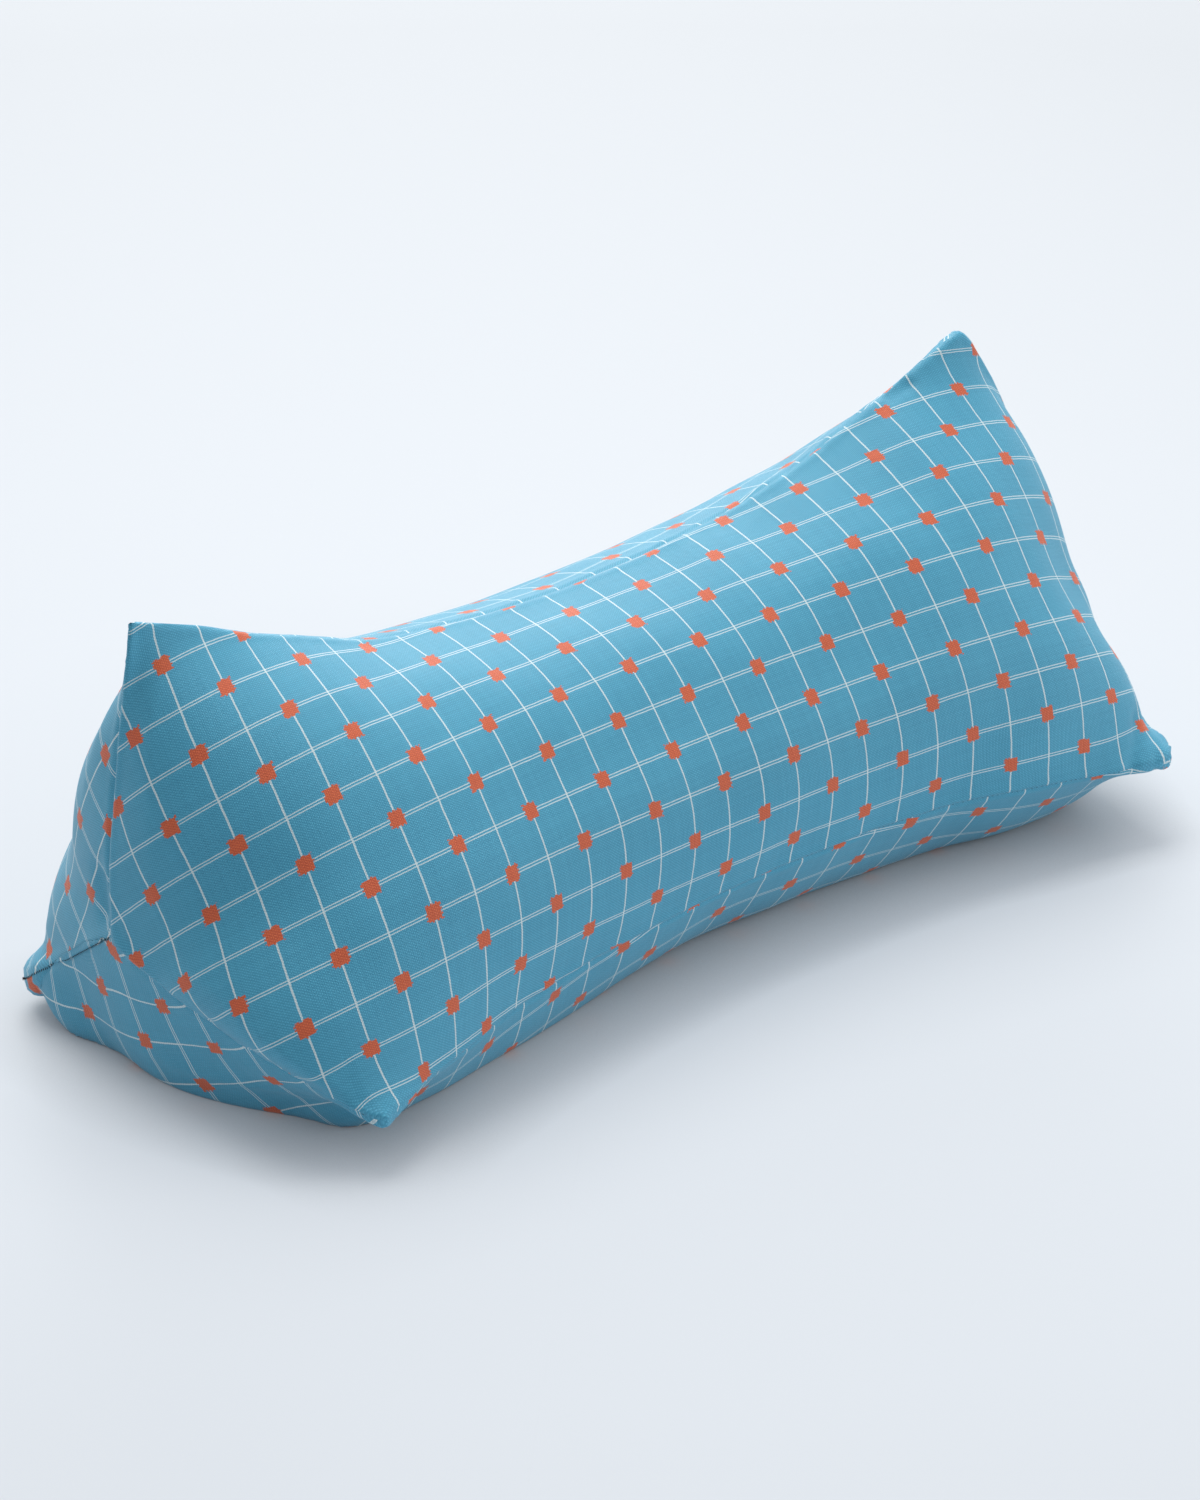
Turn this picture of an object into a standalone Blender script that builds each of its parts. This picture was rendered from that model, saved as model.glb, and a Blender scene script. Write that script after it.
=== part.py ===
# Neck roll pillow: a filled three-sided cushion sewn from three hourglass panels.
# Front, back and base panels meet in three long seams.
# At each short end their pointed tips meet in an inverted Y.
# X runs along the pillow, -Y is the front, Z is up and the base rests on Z = 0.

from math import exp, hypot, pi, sin

import bpy
import bmesh
from mathutils import Vector

MM = 0.001

# Each end of the pillow.
# top, front, back  corner tips, in mm (x, y, z)
# centre            the point where the three arms of the end seam meet
# arm_bow           how much the arms bow outwards
# fold              how far the pointed tips of the panels are folded in
# swell             how much more than at the waist each panel is filled
# lean              how far each panel's fill leans towards its second seam
# plump             the radius the fill rounds each corner tip to, in mm
LEFT_END = {
    "top": Vector((-186, 13, 162)),
    "front": Vector((-168, -88, 20)),
    "back": Vector((-196, 74, 11)),
    "centre": Vector((-201, 12, 56)),
    "arm_bow": 0.12,
    "fold": 0.90,
    "swell": {"front": 1.0, "back": 1.0, "base": 1.5},
    "lean": {"front": 0.0, "back": 0.0, "base": 0.42},
    "plump": {"top": 1.0, "front": 5.0, "back": 7.0},
}
RIGHT_END = {
    "top": Vector((176, 15, 170)),
    "front": Vector((186, -92, 32)),
    "back": Vector((192, 89, 8)),
    "centre": Vector((203, -3, 59)),
    "arm_bow": 0.90,
    "fold": 0.88,
    "swell": {"front": 1.0, "back": 1.0, "base": 1.1},
    "lean": {"front": 0.0, "back": 0.0, "base": 0.0},
    "plump": {"top": 3.5, "front": 5.5, "back": 6.0},
}

# The three long seams at the waist, in mm, half of their common length,
# and how much higher the top and front seams get per mm on the way to the right.
WAIST = {
    "top": Vector((0, 14, 122.5)),
    "front": Vector((0, -60, 32)),
    "back": Vector((0, 66, 25)),
}
SEAM_HALF_MM = 187
WAIST_RISE = {"top": 0.045, "front": 0.035, "back": 0.0}

# Each panel: the seam it starts from, the seam it reaches, how far the fill pushes
# its middle out of the straight line between them (y, z in mm), and how full that curve is.
PANELS = {
    "front": ("front", "top", Vector((0, -27, 17)), 2.0),
    "back": ("back", "top", Vector((0, 29, 11)), 1.8),
    "base": ("front", "back", Vector((0, -9.3, -36.8)), 1.8),
}

# How the shape changes on the way in from either end, one row per station.
# share        part of the whole length, 0 at the end and 0.5 at the waist
# flare        how much of the widening towards the corner tips is left, top and front seams
# back_flare   the same for the back seam
# tip          how much a corner tip's own place along the pillow counts
# fold         how much of the inverted Y is left
# crown        how much of the fill's push is there
# inset        how far the middle of the front and back panels has come in from the end, mm
# base_inset   the same for the base panel
# corner       how sharply an arm turns in towards its corner tip
STATION_COLUMNS = (
    "share", "flare", "back_flare", "tip", "fold", "crown", "inset", "base_inset", "corner")
STATIONS = (
    (0.000, 1.00, 1.00, 1.00, 1.00, 0.00, 0, 0, 4.2),
    (0.045, 0.88, 0.99, 0.45, 1.07, 0.82, 5, 4, 2.6),
    (0.080, 0.78, 0.91, 0.20, 1.00, 1.20, 11, 10, 1.9),
    (0.120, 0.64, 0.72, 0.00, 0.77, 1.34, 23, 21, 1.4),
    (0.170, 0.48, 0.54, 0.00, 0.36, 1.21, 46, 45, 1.1),
    (0.250, 0.23, 0.30, 0.00, 0.00, 1.00, 80, 79, 1.05),
    (0.360, 0.07, 0.10, 0.00, 0.00, 1.00, 132, 132, 1.0),
    (0.500, 0.00, 0.00, 0.00, 0.00, 1.00, 199, 199, 1.0),
)

SHOULDER_SHARE = 0.25
SETTLE_MM = 3.0
SEAM_DIP_MM = 1.0
TIP_REACH_MM = 22.0
TIP_SPREAD = 2.0
TIP_ROUNDS = 3
MIDDLE_BEND = 0.30
BEND_SHARE = 0.10
ARM_SHARE = 0.045
LEAN_SHARE = 0.045
STEPS_ALONG = 64
STEPS_ACROSS = 28
END_CROWDING = 0.35
SEAM_CROWDING = 0.12
WELD_MM = 0.02
REST_LIFT_MM = 0.05

CLOTH_COLOUR = (0.10, 0.30, 0.45, 1.0)
CLOTH_ROUGHNESS = 0.85


def clear_scene():
    """Remove every object that is in the scene."""
    for old in list(bpy.data.objects):
        bpy.data.objects.remove(old, do_unlink=True)


def station_value(column, share):
    """Smooth value of one column of STATIONS at a share of the length from the end."""
    key = STATION_COLUMNS.index(column)
    rows = [(row[0], row[key]) for row in STATIONS]
    last = len(rows) - 1

    def slope(i):
        if i == last:
            return 0.0
        before = rows[max(i - 1, 0)]
        after = rows[i + 1]
        return (after[1] - before[1]) / (after[0] - before[0])

    i = 0
    while i < last - 1 and share > rows[i + 1][0]:
        i += 1
    width = rows[i + 1][0] - rows[i][0]
    t = (share - rows[i][0]) / width
    start = (1 + 2 * t) * (1 - t) ** 2 * rows[i][1] + t * (1 - t) ** 2 * width * slope(i)
    finish = t * t * (3 - 2 * t) * rows[i + 1][1] + t * t * (t - 1) * width * slope(i + 1)
    return start + finish


def nearer_end(along):
    """The end's corner points for a place 0 to 1 along the pillow."""
    return LEFT_END if along < 0.5 else RIGHT_END


def seam_point(name, along):
    """Point of a long seam, flaring from the waist to the corner tips."""
    share = min(along, 1 - along)
    tip = nearer_end(along)[name]
    flare = station_value("back_flare" if name == "back" else "flare", share)
    point = WAIST[name].lerp(tip, flare)
    point.z += WAIST_RISE[name] * (1 - flare) * SEAM_HALF_MM * (2 * along - 1)
    plain_end = SEAM_HALF_MM if tip.x > 0 else -SEAM_HALF_MM
    point.x = SEAM_HALF_MM * (2 * along - 1) + (tip.x - plain_end) * station_value("tip", share)
    return point


def middle_x(name, along):
    """X of a panel's middle line, which starts at the point of the end."""
    share = min(along, 1 - along)
    column = "base_inset" if name == "base" else "inset"
    if share > SHOULDER_SHARE:
        left = LEFT_END["centre"].x + station_value(column, SHOULDER_SHARE)
        right = RIGHT_END["centre"].x - station_value(column, SHOULDER_SHARE)
        return left + (right - left) * (along - SHOULDER_SHARE) / (1 - 2 * SHOULDER_SHARE)
    inset = station_value(column, share)
    if along < 0.5:
        return LEFT_END["centre"].x + inset
    return RIGHT_END["centre"].x - inset


def settled(height):
    """Height above the ground once the pillow's weight has flattened what touches it."""
    if height <= 0:
        return 0.0
    return height * height / (height + SETTLE_MM)


def soft_reach(side, share):
    """Distance from the middle line, 0 to 1, with a bend that softens away from the end."""
    bend = MIDDLE_BEND * min(share / BEND_SHARE, 1.0)
    return (hypot(side, bend) - bend) / (hypot(1.0, bend) - bend)


def leaning(side, share, lean):
    """Place across a panel, -1 to 1, moved so that the fill leans to one side near the end."""
    near = share / LEAN_SHARE
    return side - lean * near * exp(1 - near) * (1 - side ** 2)


def panel_point(name, along, across):
    """Point of a panel, both places from 0 to 1, in mm."""
    low_seam, high_seam, push, fullness = PANELS[name]
    share = min(along, 1 - along)
    low = seam_point(low_seam, along)
    high = seam_point(high_seam, along)
    end = nearer_end(along)
    fold_depth = end["centre"] - (end[low_seam] + end[high_seam]) / 2
    side = leaning(2 * across - 1, share, end["lean"][name])
    reach = soft_reach(side, share)
    point = low.lerp(high, across)
    near_arm = max(1 - share / ARM_SHARE, 0.0)
    fold = station_value("fold", share) * (1 + (end["fold"] - 1) * (1 - near_arm))
    point += fold_depth * fold * (1 - reach)
    swell = 1 + (end["swell"][name] - 1) * sin(2 * pi * along) ** 2
    point += push * station_value("crown", share) * swell * (1 - reach ** fullness)
    seam_x = high.x if side > 0 else low.x
    middle = middle_x(name, along)
    bow = 1 + (end["arm_bow"] - 1) * near_arm
    corner = 1 + (station_value("corner", share) - 1) * bow
    point.x = middle + (seam_x - middle) * reach ** corner
    point.z = settled(point.z)
    return point


def crowded(value, amount):
    """Spread of grid lines over 0 to 1, closer together near both ends."""
    eased = value * value * (3 - 2 * value)
    return value + (eased - value) * amount


def add_panel(bm, name):
    """Add one panel as a grid that is bent into place."""
    grid = bmesh.ops.create_grid(
        bm, x_segments=STEPS_ALONG, y_segments=STEPS_ACROSS, size=0.5)
    for vert in grid["verts"]:
        along = crowded(vert.co.x + 0.5, END_CROWDING)
        across = crowded(vert.co.y + 0.5, SEAM_CROWDING)
        vert.co = panel_point(name, min(max(along, 0.0), 1.0), min(max(across, 0.0), 1.0)) * MM
    return grid["verts"]


def round_tip(bm, tip, plump):
    """Draw a pointed corner tip in a little and swell it round, as the fill does."""
    reach = TIP_REACH_MM * MM + TIP_SPREAD * plump
    near = []
    for vert in bm.verts:
        gap = (vert.co - tip).length
        if gap < reach:
            near.append((vert, 1 - gap / reach))
    middle = sum((vert.co for vert, _ in near), Vector()) / len(near)
    inward = (middle - tip).normalized()
    for vert, weight in near:
        vert.co += inward * plump * weight ** 1.3
    for _ in range(TIP_ROUNDS):
        bm.normal_update()
        for vert, weight in near:
            vert.co += vert.normal * plump * weight ** 1.3 / TIP_ROUNDS
        bmesh.ops.smooth_vert(
            bm, verts=[vert for vert, weight in near if weight > 0.5], factor=0.3,
            use_axis_x=True, use_axis_y=True, use_axis_z=True)
    short = min((vert.co - tip).dot(inward) for vert, _ in near)
    for vert, weight in near:
        vert.co -= inward * short * weight


def finish_seams(bm, seam_verts):
    """Round the corner tips and draw the seams a little way into the fill."""
    tips = []
    for end in (LEFT_END, RIGHT_END):
        for name in WAIST:
            tips.append(end[name] * MM)
            round_tip(bm, end[name] * MM, end["plump"][name] * MM)
    bm.normal_update()
    for vert in seam_verts:
        if vert.is_valid:
            room = min((vert.co - tip).length for tip in tips) / (TIP_REACH_MM * MM)
            vert.co -= vert.normal * SEAM_DIP_MM * MM * min(room, 1.0)
    for vert in bm.verts:
        vert.co.z = max(vert.co.z, 0.0)


def rest_on_corners(bm):
    """Let the flat base bear on its four outermost points, a hair below the rest of it."""
    flat = [vert for vert in bm.verts if vert.co.z <= 0.0]
    bearing = set()
    for side_x in (-1, 1):
        for side_y in (-2, 2):
            bearing.add(max(flat, key=lambda vert: side_x * vert.co.x + side_y * vert.co.y))
    for vert in bm.verts:
        if vert not in bearing:
            vert.co.z += REST_LIFT_MM * MM


def centre_over_origin(bm):
    """Slide the pillow so that the middle of its footprint is the origin."""
    xs = [vert.co.x for vert in bm.verts]
    ys = [vert.co.y for vert in bm.verts]
    middle = Vector((min(xs) + max(xs), min(ys) + max(ys), 0.0)) / 2
    bmesh.ops.translate(bm, verts=bm.verts, vec=-middle)


def cloth_material(name):
    """Plain woven cotton in the pillow's blue."""
    material = bpy.data.materials.new(name)
    material.use_nodes = True
    shader = material.node_tree.nodes["Principled BSDF"]
    shader.inputs["Base Color"].default_value = CLOTH_COLOUR
    shader.inputs["Roughness"].default_value = CLOTH_ROUGHNESS
    shader.inputs["Metallic"].default_value = 0.0
    material.diffuse_color = CLOTH_COLOUR
    return material


def build_cushion():
    """Weld the three panels into the filled pillow."""
    bm = bmesh.new()
    for name in PANELS:
        add_panel(bm, name)
    seam_verts = [vert for vert in bm.verts if vert.is_boundary]
    bmesh.ops.remove_doubles(bm, verts=seam_verts, dist=WELD_MM * MM)
    bmesh.ops.recalc_face_normals(bm, faces=bm.faces)
    if bm.calc_volume(signed=True) < 0:
        bmesh.ops.reverse_faces(bm, faces=bm.faces)
    finish_seams(bm, seam_verts)
    rest_on_corners(bm)
    centre_over_origin(bm)
    for face in bm.faces:
        face.smooth = True
    mesh = bpy.data.meshes.new("cushion")
    bm.to_mesh(mesh)
    bm.free()
    mesh.materials.append(cloth_material("blue_cotton"))
    cushion = bpy.data.objects.new("cushion", mesh)
    bpy.context.scene.collection.objects.link(cushion)
    return cushion


clear_scene()
build_cushion()
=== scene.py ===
"""Neck roll pillow, dressed: a filled three-sided cushion in woven check cotton.

The cover follows the same named sizes as the pillow's solid. Each panel is laid out flat by its
own lengths, so the woven check keeps its real size all over the cloth.
"""
import logging
from dataclasses import dataclass, field
from enum import Enum
from math import cos, pi, sin, tan

import bmesh
import bpy
import numpy as np
from mathutils import Matrix, Vector, noise
from mathutils.kdtree import KDTree


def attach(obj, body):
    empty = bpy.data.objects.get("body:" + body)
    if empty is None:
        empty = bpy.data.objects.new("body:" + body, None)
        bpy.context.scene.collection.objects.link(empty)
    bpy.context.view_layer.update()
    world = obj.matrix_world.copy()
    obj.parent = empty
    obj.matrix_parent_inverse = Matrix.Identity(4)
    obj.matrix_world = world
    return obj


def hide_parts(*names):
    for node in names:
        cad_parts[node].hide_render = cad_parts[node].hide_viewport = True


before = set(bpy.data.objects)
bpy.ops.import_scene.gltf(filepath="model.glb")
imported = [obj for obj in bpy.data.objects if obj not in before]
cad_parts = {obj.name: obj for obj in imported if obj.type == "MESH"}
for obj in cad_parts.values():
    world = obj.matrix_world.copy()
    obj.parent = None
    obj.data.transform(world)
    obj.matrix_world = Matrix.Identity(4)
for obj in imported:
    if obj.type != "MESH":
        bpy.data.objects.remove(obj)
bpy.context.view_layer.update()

LOG = logging.getLogger("neck_roll_pillow")

# One mm in metres, mm in a metre, and one repeat of the woven check in mm.
MM = 0.001
PER_METRE = 1000.0
REPEAT_MM = 16.0
# Nearer than EDGE to 0 or 1 is on a panel's edge. TINY keeps a length from being nothing.
EDGE = 1e-6
TINY = 1e-9

Pair = tuple[float, float]
Triple = tuple[float, float, float]
Array = np.ndarray


class Panel(Enum):
    """The three pieces of cloth the cover is cut from."""

    FRONT = 0
    BACK = 1
    BASE = 2


class Seam(Enum):
    """The seams of the cover: three long ones, and three arms at each end."""

    TOP = "top"
    FRONT = "front"
    BACK = "back"
    UPRIGHT_ARM = "upright_arm"
    FRONT_ARM = "front_arm"
    BACK_ARM = "back_arm"


# The arm that each long seam runs out into at both ends.
ARMS = {Seam.TOP: Seam.UPRIGHT_ARM, Seam.FRONT: Seam.FRONT_ARM, Seam.BACK: Seam.BACK_ARM}


@dataclass(frozen=True)
class EndShape:
    """Shape of one end: its corner tips and the point where its three arms meet, in mm.

    arm_bow is how much the arms bow outwards and fold is how far the pointed tips of the panels
    are folded in. swell and lean have a value each for the front, back and base panels: how much
    more than at the waist the panel is filled, and how far its fill leans to its high seam.
    plump has a value each for the top, front and back tips: the radius the fill rounds them to.
    """

    top: Triple
    front: Triple
    back: Triple
    centre: Triple
    arm_bow: float
    fold: float
    swell: Triple
    lean: Triple
    plump: Triple

    def point(self, name: str) -> Array:
        """The named corner as an array."""
        return np.array(getattr(self, name), float)


@dataclass(frozen=True)
class PanelCut:
    """How one panel hangs between its two long seams.

    low and high name the seams it runs between, push is how far the fill carries its middle
    out of the straight line between them (y, z in mm), and fullness is how full that curve is.
    """

    low: Seam
    high: Seam
    push: Pair
    fullness: float


@dataclass(frozen=True)
class PillowForm:
    """The filled pillow's outer surface, worked out from a few named sizes in mm.

    Each row of stations tells, at a share of the length in from the nearer end: how far the long
    seams flare from the waist to the tips, how far they follow the tip's x, how deep the fold and
    how full the crown is, how far in the middle line lies, and how sharp the corners are.
    """

    left: EndShape = EndShape(
        top=(-186, 13, 162), front=(-168, -88, 20), back=(-196, 74, 11), centre=(-201, 12, 56),
        arm_bow=0.12, fold=0.90, swell=(1.0, 1.0, 1.5), lean=(0.0, 0.0, 0.42),
        plump=(1.0, 4.0, 8.5))
    right: EndShape = EndShape(
        top=(176, 15, 170), front=(186, -92, 32), back=(192, 89, 8), centre=(203, -3, 59),
        arm_bow=0.9, fold=0.88, swell=(1.0, 1.0, 1.1), lean=(0.0, 0.0, 0.0),
        plump=(3.2, 5.5, 6.0))
    top_rise: float = 0.045
    front_rise: float = 0.035
    waist_top: Triple = (0, 14, 122.5)
    waist_front: Triple = (0, -60, 32)
    waist_back: Triple = (0, 66, 25)
    seam_half: float = 187.0
    front: PanelCut = PanelCut(Seam.FRONT, Seam.TOP, (-27, 17), 2.0)
    back: PanelCut = PanelCut(Seam.BACK, Seam.TOP, (29, 11), 1.8)
    base: PanelCut = PanelCut(Seam.FRONT, Seam.BACK, (-9.3, -36.8), 1.8)
    columns: tuple[str, ...] = (
        "share", "flare", "back_flare", "tip", "fold", "crown", "inset", "base_inset", "corner")
    stations: tuple[tuple[float, ...], ...] = (
        (0.000, 1.00, 1.00, 1.00, 1.00, 0.00, 0, 0, 4.2),
        (0.045, 0.88, 0.99, 0.45, 1.07, 0.82, 5, 4, 2.6),
        (0.080, 0.78, 0.91, 0.20, 1.00, 1.20, 11, 10, 1.9),
        (0.120, 0.64, 0.72, 0.00, 0.77, 1.34, 23, 21, 1.4),
        (0.170, 0.48, 0.54, 0.00, 0.36, 1.21, 46, 45, 1.1),
        (0.250, 0.23, 0.30, 0.00, 0.00, 1.00, 80, 79, 1.05),
        (0.360, 0.07, 0.10, 0.00, 0.00, 1.00, 132, 132, 1.00),
        (0.500, 0.00, 0.00, 0.00, 0.00, 1.00, 199, 199, 1.00),
    )
    shoulder_share: float = 0.25
    settle: float = 3.0
    middle_bend: float = 0.30
    bend_share: float = 0.10
    arm_share: float = 0.045
    lean_share: float = 0.045
    slide: Triple = (-0.99, 0.94, 0.0)

    def cut(self, panel: Panel) -> PanelCut:
        """The cut of a panel."""
        return getattr(self, panel.name.lower())

    def station(self, column: str, share: Array) -> Array:
        """Smooth value of one column of the stations.

        Args:
            column: name of the column.
            share: part of the whole length in from the nearer end.

        Returns:
            The column's value at each share.
        """
        xs, ys = np.array(self.stations).T[[0, self.columns.index(column)]]
        before = np.maximum(np.arange(len(xs) - 1) - 1, 0)
        slopes = np.append((ys[1:] - ys[before]) / (xs[1:] - xs[before]), 0.0)
        i = np.clip(np.searchsorted(xs, share, side="left") - 1, 0, len(xs) - 2)
        width = xs[i + 1] - xs[i]
        t = (share - xs[i]) / width
        start = (1 + 2 * t) * (1 - t) ** 2 * ys[i] + t * (1 - t) ** 2 * width * slopes[i]
        finish = t * t * (3 - 2 * t) * ys[i + 1] + t * t * (t - 1) * width * slopes[i + 1]
        return start + finish

    def ends(self, name: str, along: Array) -> Array:
        """The named corner of the nearer end, one row for each place along the pillow."""
        left, right = self.left.point(name), self.right.point(name)
        return np.where((along < 0.5)[:, None], left, right)

    @staticmethod
    def eased(left: float, right: float, along: Array, weight: Array) -> Array:
        """The nearer end's value where weight is 1, and plain 1 where it is 0."""
        return 1 + (np.where(along < 0.5, left, right) - 1) * weight

    def seam_line(self, seam: Seam, along: Array) -> Array:
        """Points of a long seam, flaring from the waist to the corner tips.

        Args:
            seam: which seam.
            along: places from 0, left, to 1, right.

        Returns:
            One row (x, y, z) in mm for each place.
        """
        share = np.minimum(along, 1 - along)
        tip = self.ends(seam.value, along)
        waist = np.array(getattr(self, "waist_" + seam.value), float)
        flare = self.station("back_flare" if seam is Seam.BACK else "flare", share)[:, None]
        points = waist + (tip - waist) * flare
        rise = {Seam.TOP: self.top_rise, Seam.FRONT: self.front_rise}.get(seam, 0.0)
        points[:, 2] += rise * (1 - flare[:, 0]) * self.seam_half * (2 * along - 1)
        plain_end = np.where(tip[:, 0] > 0, self.seam_half, -self.seam_half)
        ease = self.station("tip", share)
        points[:, 0] = self.seam_half * (2 * along - 1) + (tip[:, 0] - plain_end) * ease
        return points

    def middle_x(self, panel: Panel, along: Array) -> Array:
        """X of a panel's middle line, which starts at the point of the end.

        Args:
            panel: which panel.
            along: places from 0, left, to 1, right.

        Returns:
            X in mm for each place.
        """
        share = np.minimum(along, 1 - along)
        column = "base_inset" if panel is Panel.BASE else "inset"
        inset = self.station(column, share)
        shoulder = float(self.station(column, np.array([self.shoulder_share]))[0])
        left_x, right_x = self.left.centre[0], self.right.centre[0]
        near_end = np.where(along < 0.5, left_x + inset, right_x - inset)
        run = (along - self.shoulder_share) / (1 - 2 * self.shoulder_share)
        between = left_x + shoulder + (right_x - left_x - 2 * shoulder) * run
        return np.where(share > self.shoulder_share, between, near_end)

    def points(self, panel: Panel, along: Array, across: Array) -> Array:
        """Points of a panel's surface.

        Args:
            panel: which panel.
            along: places from 0, left, to 1, right.
            across: places from 0, low seam, to 1, high seam.

        Returns:
            One row (x, y, z) in mm for each place.
        """
        cut = self.cut(panel)
        share = np.minimum(along, 1 - along)
        low, high = self.seam_line(cut.low, along), self.seam_line(cut.high, along)
        low_tip, high_tip = self.ends(cut.low.value, along), self.ends(cut.high.value, along)
        fold_depth = self.ends("centre", along) - (low_tip + high_tip) / 2
        side = 2 * across - 1
        near = share / self.lean_share
        lean = np.where(along < 0.5, self.left.lean[panel.value], self.right.lean[panel.value])
        side = side - lean * near * np.exp(1 - near) * (1 - side ** 2)
        bend = self.middle_bend * np.minimum(share / self.bend_share, 1.0)
        reach = (np.hypot(side, bend) - bend) / (np.hypot(1.0, bend) - bend)
        out = low + (high - low) * across[:, None]
        near_arm = np.maximum(1 - share / self.arm_share, 0.0)
        fold = self.station("fold", share)
        fold *= self.eased(self.left.fold, self.right.fold, along, 1 - near_arm)
        out += fold_depth * (fold * (1 - reach))[:, None]
        crown = self.station("crown", share) * (1 - reach ** cut.fullness)
        crown *= self.eased(self.left.swell[panel.value], self.right.swell[panel.value],
                            along, np.sin(2 * pi * along) ** 2)
        out += np.array((0.0, *cut.push)) * crown[:, None]
        seam_x = np.where(side > 0, high[:, 0], low[:, 0])
        middle = self.middle_x(panel, along)
        bow = self.eased(self.left.arm_bow, self.right.arm_bow, along, near_arm)
        corner = 1 + (self.station("corner", share) - 1) * bow
        out[:, 0] = middle + (seam_x - middle) * reach ** corner
        height = np.maximum(out[:, 2], 0.0)
        out[:, 2] = height * height / (height + self.settle)
        return out + np.array(self.slide)


@dataclass(frozen=True)
class FlatPiece:
    """Rough flat shape of a panel, in mm, from which its true lie is found."""

    seam_length: float = 381.0
    point_depth: float = 50.0
    end_width: float = 198.0
    waist_width: float = 140.0
    power: float = 2.2

    def places(self, along: Array, across: Array) -> Array:
        """Flat places, with the middle of the piece at the origin.

        Args:
            along: places from 0, left, to 1, right.
            across: places from 0, low seam, to 1, high seam.

        Returns:
            x + iy in mm for each place.
        """
        inward = 1 - np.abs(2 * across - 1)
        left = -self.seam_length / 2 - self.point_depth * inward
        x = left - 2 * left * along
        ease = np.minimum(1.0, np.abs(x) / (self.seam_length / 2)) ** self.power
        width = self.waist_width + (self.end_width - self.waist_width) * ease
        return x + 1j * (across - 0.5) * width


@dataclass(frozen=True)
class CheckPlacement:
    """Where the woven check falls on a panel, in repeats and radians.

    sag is how far the lines along the panel are drawn down at its ends, slack how far the lines
    across it have slid towards them, and spread how far the lines along it fan out there.
    """

    along: float
    across: float
    turn: float = 0.0
    sag: float = 0.0
    slack: float = 0.0
    spread: float = 0.0
    middle: Pair = (12.9, -6.6)
    half: Pair = (12.0, 6.0)

    def cloth(self, flat: Array) -> Array:
        """Where flat places fall on the weave.

        Args:
            flat: the places, x + iy in mm.

        Returns:
            Cloth coordinates (u, v) in repeats.
        """
        turned = flat / REPEAT_MM * complex(cos(self.turn), -sin(self.turn))
        u, v = self.along + turned.real, turned.imag - self.across
        a = (u - self.middle[0]) / self.half[0]
        b = (v - self.middle[1]) / self.half[1]
        u = u + self.slack * a * (1 - a * a)
        return np.stack([u, v + (self.sag + self.spread * b) * a * a], 1)


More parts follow.
